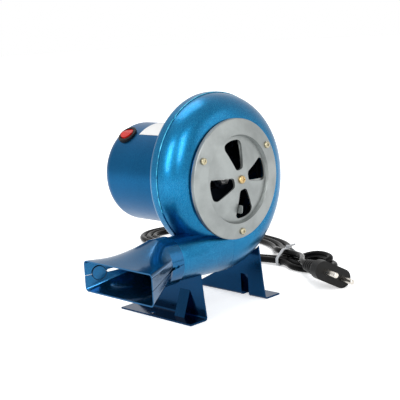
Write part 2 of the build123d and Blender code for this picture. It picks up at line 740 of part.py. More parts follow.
with BuildPart() as capacitor_strap:
    with BuildSketch(Plane.XY.offset(CAPACITOR_Z + 3.0)):
        with Locations((0, REAR_BRACKET_Y + 11.4)):
            Rectangle(33.6, 22.8)
        with Locations((0, REAR_BRACKET_Y + 0.4)):
            Rectangle(46.0, 0.8)
        with Locations((0, REAR_BRACKET_Y + 11.0)):
            Rectangle(32.0, 22.0, mode=Mode.SUBTRACT)
    extrude(amount=6.0)
save(capacitor_strap.part, "capacitor_strap")


# ---- switch, label and cord gland ----

with BuildPart() as switch_housing:
    with BuildSketch(outward(SWITCH_TURN, CAN_RADIUS - 5.0, SWITCH_Y)):
        Circle(BEZEL_RADIUS)
    extrude(amount=7.0)
    switch_out = Axis((0, 0, 0), outward(SWITCH_TURN, 0, 0).z_dir)
    fillet(switch_housing.faces().sort_by(switch_out)[-1].edges(), 0.8)
    add(can_volume(-0.02), mode=Mode.SUBTRACT)
    with BuildSketch(outward(SWITCH_TURN, SWITCH_INNER, SWITCH_Y)):
        Circle(SWITCH_BODY - 0.1)
    extrude(amount=CAN_RADIUS + 0.6 - SWITCH_INNER)
    with BuildSketch(outward(SWITCH_TURN, ROCKER_PIVOT - 5.0, SWITCH_Y)):
        Circle(ROCKER_RADIUS + ROCKER_GAP)
    extrude(amount=12.0, mode=Mode.SUBTRACT)
save(switch_housing.part, "switch_housing")

with BuildPart() as switch_rocker:
    tilt = math.radians(SWITCH_TURN - ROCKER_REST)
    tilted = Plane(
        origin=outward(SWITCH_TURN, ROCKER_PIVOT, SWITCH_Y).origin,
        x_dir=(0, 1, 0), z_dir=(math.cos(tilt), 0, math.sin(tilt)),
    )
    with BuildSketch(tilted.offset(-3.0)):
        Circle(ROCKER_RADIUS)
    extrude(amount=6.2)
    # the top is a low ridge along the hinge
    ridge = Plane(origin=tilted.origin, x_dir=tilted.y_dir, z_dir=tilted.x_dir)
    with BuildSketch(ridge):
        with BuildLine():
            Polyline((-9, 1.9), (0, 3.15), (9, 1.9), (9, 6), (-9, 6), close=True)
        make_face()
    extrude(amount=12, both=True, mode=Mode.SUBTRACT)
save(switch_rocker.part, "switch_rocker")

with BuildPart() as switch_terminals:
    with BuildSketch(outward(SWITCH_TURN, SWITCH_INNER, SWITCH_Y)):
        with Locations((-4.5, 0), (4.5, 0)):
            Rectangle(0.8, 6.3)
    extrude(amount=-8.0)
save(switch_terminals.part, "switch_terminals")

with BuildPart() as label_plate:
    with BuildSketch(radial(LABEL_TURN)):
        with Locations((CAN_RADIUS + LABEL_SHEET / 2, (LABEL_Y0 + LABEL_Y1) / 2)):
            Rectangle(LABEL_SHEET, LABEL_Y1 - LABEL_Y0)
    revolve(axis=Axis((0, 0, AXIS_HEIGHT), (0, -1, 0)), revolution_arc=LABEL_ARC)
save(label_plate.part, "label_plate")

with BuildPart() as cord_gland:
    with BuildSketch(outward(GLAND_TURN, CAN_RADIUS - 3.0, GLAND_Y)):
        Circle(8.0)
    extrude(amount=5.0)
    add(can_volume(-0.02), mode=Mode.SUBTRACT)
    with BuildSketch(outward(GLAND_TURN, CAN_RADIUS + 1.0, GLAND_Y)) as relief_root:
        Circle(5.4)
    with BuildSketch(outward(GLAND_TURN, CAN_RADIUS + GLAND_LONG, GLAND_Y)) as relief_tip:
        Circle(4.1)
    loft()
    with BuildSketch(outward(GLAND_TURN, CAN_RADIUS - 6.0, GLAND_Y)):
        Circle(GLAND_BODY - 0.1)
    extrude(amount=8.0)
    with BuildSketch(outward(GLAND_TURN, CAN_RADIUS - 6.0, GLAND_Y)):
        Circle(7.0)
    extrude(amount=2.5)
    with BuildSketch(outward(GLAND_TURN, CAN_RADIUS - 10.0, GLAND_Y)):
        Circle(CORD / 2)
    extrude(amount=30.0 + GLAND_LONG, mode=Mode.SUBTRACT)
save(cord_gland.part, "cord_gland")


# ---- feet ----

def leg(side):
    """A sheet foot: web up to the casing, flange out, one hole and a pressed gusset."""
    with BuildPart() as made:
        with BuildSketch(Plane.XZ.offset(-FOOT_REAR_Y)):
            with BuildLine():
                inner = LEG_X - LEG_SHEET
                FilletPolyline(
                    (inner * side, 70), (inner * side, 0), ((LEG_X + FOOT_WIDE) * side, 0),
                    radius=LEG_SHEET + LEG_BEND,
                )
                Polyline(
                    ((LEG_X + FOOT_WIDE) * side, 0), ((LEG_X + FOOT_WIDE) * side, LEG_SHEET)
                )
                FilletPolyline(
                    ((LEG_X + FOOT_WIDE) * side, LEG_SHEET), (LEG_X * side, LEG_SHEET),
                    (LEG_X * side, 70), radius=LEG_BEND,
                )
                Line((LEG_X * side, 70), (inner * side, 70))
            make_face()
        extrude(amount=FOOT_REAR_Y - FOOT_FRONT_Y)
        with BuildSketch(Plane.XZ.offset(-GUSSET_REAR_Y)):
            with BuildLine():
                Polyline(
                    (LEG_X * side, GUSSET_TALL), ((LEG_X + GUSSET_OUT) * side, 0.5),
                    ((LEG_X - 0.5) * side, 0.5), ((LEG_X - 0.5) * side, GUSSET_TALL), close=True,
                )
            make_face()
        extrude(amount=GUSSET_REAR_Y - GUSSET_FRONT_Y)
        with BuildSketch(Plane.XZ.offset(-GUSSET_REAR_Y + LEG_SHEET)):
            with BuildLine():
                Polyline(
                    ((LEG_X - 3) * side, GUSSET_TALL - 3.5),
                    (LEG_X * side, GUSSET_TALL - 3.5),
                    ((LEG_X + GUSSET_OUT - 1.2) * side, -1),
                    ((LEG_X - 3) * side, -1), close=True,
                )
            make_face()
        extrude(amount=GUSSET_REAR_Y - GUSSET_FRONT_Y - 2 * LEG_SHEET, mode=Mode.SUBTRACT)
        with BuildSketch(Plane.YZ):
            with BuildLine():
                Polyline(
                    (FOOT_FRONT_Y, 0), (FOOT_REAR_Y, 0), (FOOT_REAR_Y, 2.5), (-23.0, 33.0),
                    (-36.0, 41.0), (-36.0, 60.0), (-46.0, 60.0), (-47.5, 45.0), (-50.5, 18.0),
                    close=True,
                )
            make_face()
        extrude(amount=70, both=True, mode=Mode.INTERSECT)
        add(volute_volume(-SEAM_STEP), mode=Mode.SUBTRACT)
        if side < 0:
            add(outlet_volume(0.0), mode=Mode.SUBTRACT)
        with BuildSketch(Plane.XY.offset(-1)):
            with Locations((FOOT_HOLE_X * side, 0)):
                Circle(FOOT_HOLE_RADIUS)
        extrude(amount=5, mode=Mode.SUBTRACT)
    return made.part


with BuildPart() as left_leg:
    add(leg(-1))
save(left_leg.part, "left_leg")

with BuildPart() as right_leg:
    add(leg(1))
save(right_leg.part, "right_leg")


# ---- mains cord, tied in a hank, and its plug ----

def cord_path(points):
    """Arc radii for a cord route: each arc takes most of the shorter run beside it."""
    radii = []
    for before, here, after in zip(points, points[1:], points[2:]):
        a = Vector(*here) - Vector(*before)
        b = Vector(*after) - Vector(*here)
        half_turn = math.radians(a.get_angle(b) / 2)
        radii.append(CORD_REACH * min(a.length, b.length) / math.tan(half_turn))
    return radii


def cord_tube(points, section=CORD / 2):
    """A round tube along straight runs joined by tangent arcs."""
    radii = cord_path(points)
    print("bend radii", [round(r) for r in radii])
    with BuildPart() as tube:
        with BuildLine() as route:
            FilletPolyline(*points, radius=radii)
        wire = route.wires()[0]
        with BuildSketch(Plane(origin=wire @ 0, z_dir=wire % 0)):
            Circle(section)
        sweep(path=wire)
    ratio = tube.part.volume / (math.pi * section ** 2 * wire.length)
    print("length", round(wire.length, 1), "volume over section times length", round(ratio, 4))
    count = int(wire.length / GAP_STEP)
    spots = [wire @ (i / count) for i in range(count + 1)]
    apart = int(CORD * 4 / GAP_STEP)
    least = min(
        (spots[i] - spots[j]).length
        for i in range(count + 1) for j in range(i + apart, count + 1)
    ) if count > apart else 0
    print("least gap to itself", round(least - 2 * section, 2), "mm")
    return tube.part


def hank_turn(out, parts):
    """One loop of the hank, spread outwards: up the left side, over the tip and down."""
    low = CORD_LOW
    tip = HANK_TIP_RADIUS + out
    corner = tip * math.tan(math.radians(22.5))
    x, y = HANK_TIP
    points = [
        (137 - out, 22, WAIST_LOW), (134 - out, 56, low), (129 - out, 110, low),
        (132 - out, 164, low), (x - tip, y + corner, low), (x - corner, y + tip, low),
        (x + corner, y + tip, low), (x + tip, y + corner, low), (213 + out, 164, low),
        (214 + out, 112, low), (200 + 0.95 * out, 66 - 0.56 * out, low),
        (177 + 0.82 * out, 42.5 - 0.72 * out, low), (152.5 + out, 23 - 0.5 * out, WAIST_LOW),
    ]
    return points[parts]


GLAND_START = [(30.0, GLAND_Y, 97.68), (63.2, GLAND_Y, 78.51)]
HANK_JOIN = (121.25, 144.0, CORD_LOW)

lead_points = GLAND_START + [(73.0, 47.0, 42.0), (80.0, 60.0, 12.0), (94.0, 88.0, CORD_LOW)]
lead_points += [(117.8, 124.0, CORD_LOW), HANK_JOIN]
with BuildPart() as power_cord:
    add(cord_tube(lead_points))
save(power_cord.part, "power_cord")

hank_points = [HANK_JOIN] + hank_turn(HANK_PITCH, slice(3, 13))
hank_points += [(158.5, 5, WAIST_LOW), (169, -12, CORD_LOW), (162, -42, CORD_LOW)]
hank_points += [(134, -42, CORD_LOW), (127, -12, CORD_LOW), (137, 5, WAIST_LOW)]
hank_points += hank_turn(0.0, slice(0, 13))
hank_points += [(151.5, 5, WAIST_LOW), (159, -12, CORD_LOW), (155, -30, CORD_LOW)]
hank_points += [(141, -30, CORD_LOW), (137, -12, CORD_LOW), (144, 5, WAIST_LOW)]
hank_points += hank_turn(-HANK_PITCH, slice(0, 12))
hank_points += [(157, 36.5, 10.6), (149.4, 22.5, WAIST_TOP), (148.5, 12, WAIST_TOP)]
with BuildPart() as cord_hank:
    add(cord_tube(hank_points))
save(cord_hank.part, "cord_hank")


def along_plug(back):
    """A plane square to the plug's pins, so far behind its face, with X along its width."""
    x, y, z = PLUG_FACE
    return Plane(
        origin=(x + back * PLUG_BACK[0], y + back * PLUG_BACK[1], z),
        x_dir=PLUG_WIDTH, z_dir=PLUG_BACK,
    )


relief_end = along_plug(PLUG_LONG + RELIEF_LONG - 6.0).origin
relief_in = along_plug(PLUG_LONG + RELIEF_LONG - 18.0).origin
plug_lead_points = [hank_points[-1], (147.1, -4.3, WAIST_TOP), (135.0, -17.5, 13.0)]
plug_lead_points += [(118.5, -29.5, 14.3)]
plug_lead_points += [tuple(relief_end), tuple(relief_in)]
with BuildPart() as plug_lead:
    add(cord_tube(plug_lead_points))
save(plug_lead.part, "plug_lead")

with BuildPart() as plug_relief:
    with BuildSketch(along_plug(PLUG_LONG)):
        Circle(7.0)
    with BuildSketch(along_plug(PLUG_LONG + RELIEF_LONG - 2.0)):
        Circle(4.6)
    loft()
    for step in range(5):
        with BuildSketch(along_plug(PLUG_LONG + 3.0 + 4.0 * step)):
            Circle(7.6 - 0.55 * step)
        extrude(amount=2.0)
    with BuildSketch(along_plug(PLUG_LONG + RELIEF_LONG - 18.0)):
        Circle(CORD / 2)
    extrude(amount=24.0, mode=Mode.SUBTRACT)
save(plug_relief.part, "plug_relief")

with BuildPart() as plug_body:
    with BuildSketch(along_plug(0.0)):
        SlotOverall(PLUG_WIDE, PLUG_THICK)
    extrude(amount=9.0)
    with BuildSketch(along_plug(9.0)):
        SlotOverall(PLUG_WIDE - 1.0, PLUG_THICK - 1.0)
    with BuildSketch(along_plug(PLUG_LONG)):
        SlotOverall(20.0, 15.0)
    loft()
    with BuildSketch(along_plug(0.0)):
        with Locations((-PIN_PITCH / 2, 0), (PIN_PITCH / 2, 0)):
            Circle(PIN_RADIUS)
    extrude(amount=8.0, mode=Mode.SUBTRACT)
save(plug_body.part, "plug_body")

with BuildPart() as plug_pins:
    with BuildSketch(along_plug(8.0)):
        with Locations((-PIN_PITCH / 2, 0), (PIN_PITCH / 2, 0)):
            Circle(PIN_RADIUS)
    extrude(amount=-8.0 - PIN_LONG)
    pin_axis = Axis((0, 0, 0), PLUG_BACK)
    fillet(plug_pins.edges().group_by(pin_axis)[0], 1.6)
save(plug_pins.part, "plug_pins")

with BuildPart() as cord_tie:
    with BuildSketch(Plane.XZ.offset(-TIE_Y)):
        with BuildLine():
            FilletPolyline(
                (132.4, 0.2), (164.6, 0.2), (164.6, 8.6), (154.0, 16.2), (143.0, 16.2),
                (132.4, 8.6), radius=[3.4, 3.4, 3.0, 3.0, 3.0, 3.4], close=True,
            )
        make_face()
        offset(amount=-0.8, mode=Mode.SUBTRACT)
    extrude(amount=3.0)
    # the twisted tail of the tie
    with BuildSketch(Plane.XZ.offset(-TIE_Y)):
        with Locations((151.0, 17.4)):
            Circle(1.3)
    extrude(amount=3.0)
    with BuildSketch(Plane.YZ.offset(151.0)):
        with Locations((TIE_Y - 1.5, 17.4)):
            Circle(1.0)
    extrude(amount=11.0)
save(cord_tie.part, "cord_tie")
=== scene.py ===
import bpy
import json
import math
from mathutils import Matrix, Vector


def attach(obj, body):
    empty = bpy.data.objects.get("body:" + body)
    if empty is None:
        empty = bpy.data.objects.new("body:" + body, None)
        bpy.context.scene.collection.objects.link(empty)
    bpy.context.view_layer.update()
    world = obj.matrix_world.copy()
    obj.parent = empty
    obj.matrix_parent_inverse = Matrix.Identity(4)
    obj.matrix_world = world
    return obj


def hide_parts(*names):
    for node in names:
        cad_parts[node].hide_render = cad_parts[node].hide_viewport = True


# An electric forge blower: blue metallic snail casing, silver inlet cover, blue
# motor can, and a black mains cord tied in a hank. Metres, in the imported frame.

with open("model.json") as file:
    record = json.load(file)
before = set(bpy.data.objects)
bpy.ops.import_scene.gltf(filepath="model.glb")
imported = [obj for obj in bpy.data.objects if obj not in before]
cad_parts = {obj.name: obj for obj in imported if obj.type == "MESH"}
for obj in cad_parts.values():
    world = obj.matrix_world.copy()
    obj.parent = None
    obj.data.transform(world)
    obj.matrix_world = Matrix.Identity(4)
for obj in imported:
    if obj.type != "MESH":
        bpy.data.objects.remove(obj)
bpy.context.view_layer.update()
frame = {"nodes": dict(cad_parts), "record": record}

# ---- camera ----

cam_data = bpy.data.cameras.new("camera")
cam_data.sensor_width = 36.0
cam_data.lens = 84.2
camera = bpy.data.objects.new("camera", cam_data)
bpy.context.collection.objects.link(camera)
CAMERA_AT = (-0.5680, -0.5879, 0.2384)
azimuth, elevation, roll = math.radians(-44.72), math.radians(10.20), math.radians(-3.12)
back = Vector((
    math.sin(azimuth) * math.cos(elevation),
    -math.cos(azimuth) * math.cos(elevation),
    math.sin(elevation),
))
level = Vector((math.cos(azimuth), math.sin(azimuth), 0.0))
upright = back.cross(level)
right = level * math.cos(roll) + upright * math.sin(roll)
up = upright * math.cos(roll) - level * math.sin(roll)
turn = Matrix((right, up, back)).transposed().to_4x4()
camera.matrix_world = Matrix.Translation(CAMERA_AT) @ turn
bpy.context.scene.camera = camera

# ---- mains cord: gland, floor, hank and plug ----

CORD = 0.0064  # the cord's diameter
LOW = 0.0033  # its middle, lying on the floor
WAIST = 0.0050  # where the tie holds the turns
TOP = 0.0115  # the end to the plug, over the turns
PITCH = 0.0073  # from one turn of the hank to the next
AXIS_Z = 0.115  # the fan's axis above the floor


def hank_turn(out, first, last):
    """Points of one loop of the hank, spread outwards: up the left side and back down."""
    tip = 0.034 + out
    corner = tip * math.tan(math.radians(22.5))
    x, y = 0.172, 0.200  # the middle of the far bend
    points = [
        (0.137 - out, 0.022, WAIST), (0.134 - out, 0.056, LOW), (0.129 - out, 0.110, LOW),
        (0.132 - out, 0.164, LOW), (x - tip, y + corner, LOW), (x - corner, y + tip, LOW),
        (x + corner, y + tip, LOW), (x + tip, y + corner, LOW), (0.213 + out, 0.164, LOW),
        (0.2135 + out, 0.112, LOW), (0.200 + 0.95 * out, 0.066 - 0.56 * out, LOW),
        (0.177 + 0.82 * out, 0.0425 - 0.72 * out, LOW),
        (0.1525 + out, 0.023 - 0.5 * out, WAIST),
    ]
    return points[first:last]


route = [
    (0.0300, 0.0430, 0.09768), (0.0632, 0.0430, 0.07851), (0.0730, 0.0470, 0.0420),
    (0.0800, 0.0600, 0.0120), (0.0940, 0.0880, LOW), (0.1178, 0.1240, LOW),
]
route += hank_turn(PITCH, 3, 13)
route += [(0.1585, 0.005, WAIST), (0.169, -0.012, LOW), (0.162, -0.042, LOW)]
route += [(0.134, -0.042, LOW), (0.127, -0.012, LOW), (0.137, 0.005, WAIST)]
route += hank_turn(0.0, 0, 13)
route += [(0.1515, 0.005, WAIST), (0.1655, -0.011, 0.0112), (0.1610, -0.036, 0.0105)]
route += [(0.1440, -0.034, 0.0070), (0.1375, -0.012, LOW), (0.144, 0.005, WAIST)]
route += hank_turn(-PITCH, 0, 12)
route += [(0.157, 0.0365, 0.0106), (0.1494, 0.0225, TOP), (0.1471, -0.0043, TOP)]
route += [(0.1350, -0.0175, 0.0130), (0.1185, -0.0295, 0.0143)]

PLUG_FACE = Vector((0.095, -0.085, 0.0145))
PLUG_BACK = Vector((0.342, 0.9397, 0.0))
BEHIND_PLUG, INSIDE_PLUG = 0.040, 0.028
route += [tuple(PLUG_FACE + PLUG_BACK * along) for along in (BEHIND_PLUG, INSIDE_PLUG)]


def linked(name, data):
    """A new object in the scene that shows this data."""
    made = bpy.data.objects.new(name, data)
    bpy.context.collection.objects.link(made)
    return made


def nurbs_line(name, points):
    """A smooth open curve with these points as its control points."""
    data = bpy.data.curves.new(name, "CURVE")
    data.dimensions = "3D"
    spline = data.splines.new("NURBS")
    spline.points.add(len(points) - 1)
    for spot, place in zip(spline.points, points):
        spot.co = (*place, 1.0)
        spot.radius = CORD / 2
    spline.order_u = 3
    spline.use_endpoint_u = True
    data.resolution_u = 12
    data.use_fill_caps = True
    return linked(name, data)


cord = nurbs_line("mains_cord", route)
bare_line = bpy.data.meshes.new_from_object(
    cord.evaluated_get(bpy.context.evaluated_depsgraph_get())
)
line = [v.co.copy() for v in bare_line.vertices]
cord.data.bevel_depth = 1.0  # the points' own radius gives the thickness
cord.data.bevel_resolution = 6
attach(cord, "base")
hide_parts("power_cord", "cord_hank", "plug_lead")


def smooth(obj, angle=40):
    """Shades an object smooth, with its sharp corners kept."""
    for face in obj.data.polygons:
        face.use_smooth = True
    obj.data.set_sharp_from_angle(angle=math.radians(angle))


def tube_along(name, points, radii, around=32):
    """A tube of changing radius along a line of points."""
    vertices, faces = [], []
    count = len(points)
    side = Vector((0.0, 1.0, 0.0))
    for i, centre in enumerate(points):
        ahead = (points[min(i + 1, count - 1)] - points[max(i - 1, 0)]).normalized()
        side = (side - ahead * side.dot(ahead)).normalized()
        other = ahead.cross(side)
        for k in range(around):
            a = 2 * math.pi * k / around
            vertices.append(centre + (side * math.cos(a) + other * math.sin(a)) * radii[i])
    for i in range(count - 1):
        for k in range(around):
            n = (k + 1) % around
            faces.append((
                i * around + k, i * around + n, (i + 1) * around + n, (i + 1) * around + k
            ))
    mesh = bpy.data.meshes.new(name)
    mesh.from_pydata([tuple(v) for v in vertices], [], faces)
    mesh.update()
    made = linked(name, mesh)
    smooth(made)
    return made


def stretch_of(points, start, end, step):
    """Points spaced evenly along a line, from start to end metres along it."""
    found, run, target = [], 0.0, start
    for a, b in zip(points, points[1:]):
        long = (b - a).length
        while target <= run + long and target <= end:
            found.append(a.lerp(b, (target - run) / long))
            target += step
        run += long
    return found


# the tapered strain relief beside the gland, with its grip rings
RELIEF_START, RELIEF_END, RELIEF_STEP = 0.0235, 0.0465, 0.0005
RELIEF_WIDE, RELIEF_TAPER, RELIEF_LIP = 5.0e-3, 1.35e-3, 3.2e-3
GROOVE_DEEP, GROOVE_PITCH, GROOVES_STOP = 0.45e-3, 7, 0.93
relief_line = stretch_of(line, RELIEF_START, RELIEF_END, RELIEF_STEP)
relief_radii = []
for i in range(len(relief_line)):
    share = i / (len(relief_line) - 1)
    grooved = i % GROOVE_PITCH in (4, 5) and share < GROOVES_STOP
    groove = GROOVE_DEEP if grooved else 0.0
    relief_radii.append(RELIEF_WIDE - RELIEF_TAPER * share - groove)
relief_radii[-1] = RELIEF_LIP
relief = tube_along("cord_relief", relief_line, relief_radii)
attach(relief, "base")

# painted highlight: a bright bead where the two shells of the casing meet, standing in for the
# light that the seam's lip catches
SEAM_Y = -0.0330
SEAM_NEAR = 0.0006
SEAM_INNERMOST = 0.060
BEAD = 0.00042
BEAD_AHEAD = 0.0001
rim = {}
for vertex in frame["nodes"]["back_shell"].data.vertices:
    x, y, z = vertex.co.x, vertex.co.y, vertex.co.z - AXIS_Z
    angle = (math.degrees(math.atan2(z, x)) + 100) % 360 - 100
    reach = math.hypot(x, z)
    if abs(y - SEAM_Y) < SEAM_NEAR and reach > SEAM_INNERMOST and -90 < angle < 200:
        key = round(angle / 2)
        if key not in rim or reach > rim[key].length:
            rim[key] = Vector((x, z))
bead_points = []
for key, spot in sorted(rim.items()):
    spot = spot * (1 - BEAD / spot.length)
    bead_points.append(Vector((spot.x, SEAM_Y - BEAD_AHEAD, spot.y + AXIS_Z)))
bead = tube_along("seam_highlight_bead", bead_points, [BEAD] * len(bead_points), 12)
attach(bead, "base")

# painted shadow: a dark line round each joint disc inside the mouth, for the shade in the gap at
# its edge
DISC_RADIUS = 0.0058
SHADOW_RING_TUBE = 0.00026
DISC_LIFT = 0.00045
RING_STEPS = 48
MOUTH_MIDDLE_Y = -0.0395
WALL_IN, WALL_OVER = -20.9, -41.0  # the slope of the mouth's side walls
UPWARD = Vector((0, 0, 1))
disc_shadow_rings = []
for side, place in ((1, "rear"), (-1, "front")):
    normal = Vector((WALL_IN, WALL_OVER * side, 0.0)).normalized()
    spots = [
        v.co for v in frame["nodes"]["nozzle_joint_discs"].data.vertices
        if (v.co.y > MOUTH_MIDDLE_Y) == (side > 0)
    ]
    middle = sum(spots, Vector()) / len(spots) + normal * DISC_LIFT
    across = normal.cross(UPWARD)
    ring = [
        middle + across * DISC_RADIUS * math.cos(a) + UPWARD * DISC_RADIUS * math.sin(a)
        for a in [2 * math.pi * i / RING_STEPS for i in range(RING_STEPS + 1)]
    ]
    shadow_ring = tube_along("joint_disc_shadow_ring_" + place, ring, [SHADOW_RING_TUBE] * len(ring), 10)
    disc_shadow_rings.append(shadow_ring)
    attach(shadow_ring, "base")

# ---- materials ----

BUMP_HIGH = 0.0002


def material(name):
    """A new node material, with its nodes and links."""
    made = bpy.data.materials.new(name)
    made.use_nodes = True
    return made, made.node_tree.nodes, made.node_tree.links


def noise(nodes, links, scale, detail=3.0, rough=0.5, stretch=(1, 1, 1)):
    """Noise in object coordinates, so it is fixed to the piece in metres."""
    coord = nodes.new("ShaderNodeTexCoord")
    mapping = nodes.new("ShaderNodeMapping")
    mapping.inputs["Scale"].default_value = stretch
    links.new(coord.outputs["Object"], mapping.inputs["Vector"])
    made = nodes.new("ShaderNodeTexNoise")
    made.inputs["Scale"].default_value = scale
    made.inputs["Detail"].default_value = detail
    made.inputs["Roughness"].default_value = rough
    links.new(mapping.outputs["Vector"], made.inputs["Vector"])
    return made.outputs["Fac"]


def ramp(nodes, links, source, stops):
    """A colour ramp over the source, with these places and colours."""
    made = nodes.new("ShaderNodeValToRGB")
    ladder = made.color_ramp.elements
    while len(ladder) < len(stops):
        ladder.new(0.5)
    for rung, (place, colour) in zip(ladder, stops):
        rung.position = place
        rung.color = (*colour, 1.0)
    links.new(source, made.inputs["Fac"])
    return made.outputs["Color"]


def spread(nodes, links, source, low, high):
    """The source spread between two values."""
    made = nodes.new("ShaderNodeMapRange")
    made.inputs["To Min"].default_value = low
    made.inputs["To Max"].default_value = high
    links.new(source, made.inputs["Value"])
    return made.outputs["Result"]


def bump(nodes, links, source, strength):
    """A fine bump from the source."""
    made = nodes.new("ShaderNodeBump")
    made.inputs["Strength"].default_value = strength
    made.inputs["Distance"].default_value = BUMP_HIGH
    links.new(source, made.inputs["Height"])
    return made.outputs["Normal"]


def flake_paint(name, dark, mid, bright, flake_scale=2600.0, *, metal, rough, coat):
    """Metallic paint: fine flakes that glint, slow colour drift, an orange-peel coat."""
    made, nodes, links = material(name)
    bsdf = nodes["Principled BSDF"]
    flakes = ramp(
        nodes, links, noise(nodes, links, flake_scale, 2.0, 0.7),
        [(0.30, dark), (0.50, mid), (0.74, bright)],
    )
    drift = ramp(
        nodes, links, noise(nodes, links, 22.0, 4.0), [(0.35, (0.86,) * 3), (0.65, (1.0,) * 3)]
    )
    mix = nodes.new("ShaderNodeMix")
    mix.data_type = "RGBA"
    mix.blend_type = "MULTIPLY"
    mix.inputs["Factor"].default_value = 1.0
    links.new(flakes, mix.inputs["A"])
    links.new(drift, mix.inputs["B"])
    links.new(mix.outputs["Result"], bsdf.inputs["Base Color"])
    bsdf.inputs["Metallic"].default_value = metal
    roughness = spread(nodes, links, noise(nodes, links, 260.0, 3.0), rough - 0.05, rough + 0.07)
    links.new(roughness, bsdf.inputs["Roughness"])
    peel = bump(nodes, links, noise(nodes, links, 420.0, 2.0), 0.08)
    links.new(peel, bsdf.inputs["Normal"])
    bsdf.inputs["Coat Weight"].default_value = coat
    bsdf.inputs["Coat Roughness"].default_value = 0.06
    return made


def brushed(name, colour, rough=0.32, metal=1.0, stretch=(1, 1, 1), scale=500.0, grain=0.12):
    """Bare or plated metal with fine directional wear and a few darker patches."""
    made, nodes, links = material(name)
    bsdf = nodes["Principled BSDF"]
    worn = tuple(c * 0.80 for c in colour)
    tint = ramp(nodes, links, noise(nodes, links, 70.0, 5.0), [(0.32, worn), (0.62, colour)])
    links.new(tint, bsdf.inputs["Base Color"])
    bsdf.inputs["Metallic"].default_value = metal
    streaks = noise(nodes, links, scale, 4.0, 0.6, stretch)
    links.new(spread(nodes, links, streaks, rough - 0.08, rough + 0.12), bsdf.inputs["Roughness"])
    links.new(bump(nodes, links, streaks, grain), bsdf.inputs["Normal"])
    return made


def plastic(name, colour, rough=0.4, scale=900.0, grain=0.15, coat=0.0, lift=1.25, shine=0.4):
    """Moulded plastic: faint colour drift, a fine moulded grain and uneven gloss."""
    made, nodes, links = material(name)
    bsdf = nodes["Principled BSDF"]
    paler = tuple(min(1.0, c * lift + 0.002) for c in colour)
    tint = ramp(nodes, links, noise(nodes, links, 60.0, 4.0), [(0.3, colour), (0.7, paler)])
    links.new(tint, bsdf.inputs["Base Color"])
    uneven = noise(nodes, links, 180.0, 3.0)
    links.new(spread(nodes, links, uneven, rough - 0.06, rough + 0.08), bsdf.inputs["Roughness"])
    grit = noise(nodes, links, scale, 2.0)
    links.new(bump(nodes, links, grit, grain), bsdf.inputs["Normal"])
    bsdf.inputs["Specular IOR Level"].default_value = shine
    bsdf.inputs["Coat Weight"].default_value = coat
    bsdf.inputs["Coat Roughness"].default_value = 0.08
    return made


casing = flake_paint(
    "casing_flake_blue", (0.001, 0.055, 0.16), (0.003, 0.125, 0.28), (0.04, 0.33, 0.56),
    metal=1.0, rough=0.30, coat=0.12,
)
nozzle = flake_paint(
    "nozzle_flake_blue", (0.001, 0.045, 0.13), (0.002, 0.080, 0.20), (0.012, 0.17, 0.35), 3000.0,
    metal=0.88, rough=0.17, coat=0.22,
)
can = flake_paint(
    "can_blue", (0.001, 0.055, 0.15), (0.002, 0.082, 0.21), (0.010, 0.15, 0.32), 2800.0,
    metal=1.0, rough=0.32, coat=0.0,
)
feet = flake_paint(
    "foot_blue", (0.001, 0.018, 0.055), (0.001, 0.030, 0.085), (0.006, 0.062, 0.16), 2800.0,
    metal=1.0, rough=0.18, coat=0.05,
)
silver = brushed("silver_paint", (0.29, 0.31, 0.305), 0.38, 0.85, (1, 1, 1), 1100.0, 0.10)
steel = brushed("zinc_steel", (0.60, 0.60, 0.60), 0.30)
aluminium = brushed("cast_aluminium", (0.66, 0.67, 0.68), 0.42, 1.0, (1, 1, 1), 700.0, 0.3)
lamination = brushed("lamination_steel", (0.30, 0.31, 0.33), 0.42, 1.0, (1, 30, 1), 300.0, 0.3)
copper = brushed("winding_copper", (0.60, 0.24, 0.10), 0.30, 1.0, (1, 12, 1), 500.0, 0.5)
brass = brushed("brass", (0.50, 0.36, 0.17), 0.26, 1.0)
nickel = brushed("nickel_pins", (0.70, 0.66, 0.60), 0.22, 1.0, (1, 1, 1), 600.0, 0.06)
black = plastic("black_plastic", (0.005, 0.005, 0.006), 0.36, shine=0.15)
red = plastic("red_rocker", (0.42, 0.008, 0.004), 0.28, 500.0, 0.05, 0.0, 1.3, 0.3)
grey = plastic("grey_plastic", (0.42, 0.43, 0.45), 0.45)
tie_grey = plastic("tie_grey", (0.46, 0.47, 0.48), 0.40, 1400.0, 0.3)
white = plastic("white_label", (0.66, 0.655, 0.645), 0.35, 700.0, 0.05, 0.0, 1.05, 0.3)
pvc = plastic("cord_pvc", (0.002, 0.002, 0.0022), 0.16, 1300.0, 0.05, 0.0, 1.6, 0.07)
charcoal = plastic("plug_charcoal", (0.008, 0.008, 0.008), 0.40, 1200.0, 0.22, 0.0, 1.4, 0.15)

pale_brass = brushed("pale_brass", (0.42, 0.38, 0.26), 0.26, 1.0)
fan = brushed("fan_dark", (0.016, 0.022, 0.034), 0.34, 0.8, (1, 1, 1), 600.0, 0.10)

shadow_line = flake_paint(
    "shadow_line", (0.0005, 0.004, 0.012), (0.001, 0.008, 0.02), (0.002, 0.02, 0.05),
    metal=0.4, rough=0.5, coat=0.0,
)
# painted highlight: bright cyan paint for the seam bead, for the light caught by the lip between
# the shells
seam_highlight = flake_paint(
    "seam_highlight_paint", (0.002, 0.05, 0.13), (0.03, 0.36, 0.55), (0.10, 0.60, 0.80), 150.0,
    metal=0.6, rough=0.30, coat=0.2,
)

FINISH = {
    "casing_blue": casing, "can_blue": can, "foot_blue": feet, "silver_paint": silver,
    "steel": steel, "brass": brass, "aluminium": aluminium, "lamination": lamination,
    "copper_winding": copper, "black_plastic": black, "red_plastic": red,
    "white_label": white, "grey_plastic": grey, "cord_black": pvc, "plug_black": charcoal,
    "nickel": nickel,
}
